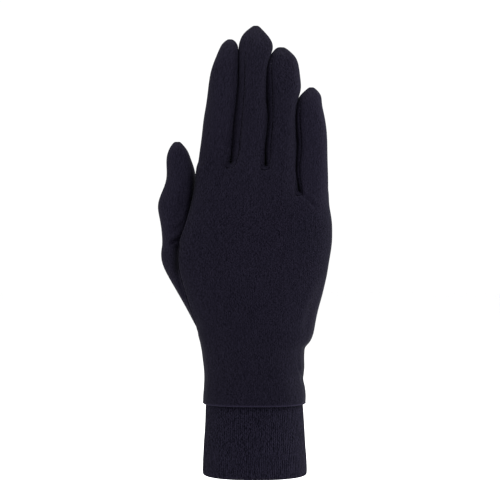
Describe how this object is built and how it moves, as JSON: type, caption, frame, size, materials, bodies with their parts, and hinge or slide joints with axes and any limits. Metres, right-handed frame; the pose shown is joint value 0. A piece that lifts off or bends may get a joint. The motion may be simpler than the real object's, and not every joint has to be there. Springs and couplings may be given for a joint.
{
  "type": "silk glove",
  "caption": "Right-hand dress glove in fine silk jersey, in its worn form: four joined fingers, a set-in thumb and a knitted wrist cuff. Hollow, open at the wrist.",
  "frame": {"origin": "centre of the wrist opening, in the plane of the cuff's lower rim", "axes": "+Z along the hand to the fingertips, -Y out of the back of the glove, +Y out of the palm, thumb at -X"},
  "size_m": [0.0996, 0.0447, 0.2561],
  "materials": {
    "silk_jersey": "fine matt knit, very dark navy",
    "cuff_knit": "fine vertical rib knit, very dark navy"
  },
  "bodies": {
    "root": {"hand": "silk_jersey", "fourchette_index_middle": "silk_jersey", "fourchette_middle_ring": "silk_jersey", "fourchette_ring_little": "silk_jersey", "thumb": "silk_jersey", "cuff": "cuff_knit"}
  },
  "joints": []
}
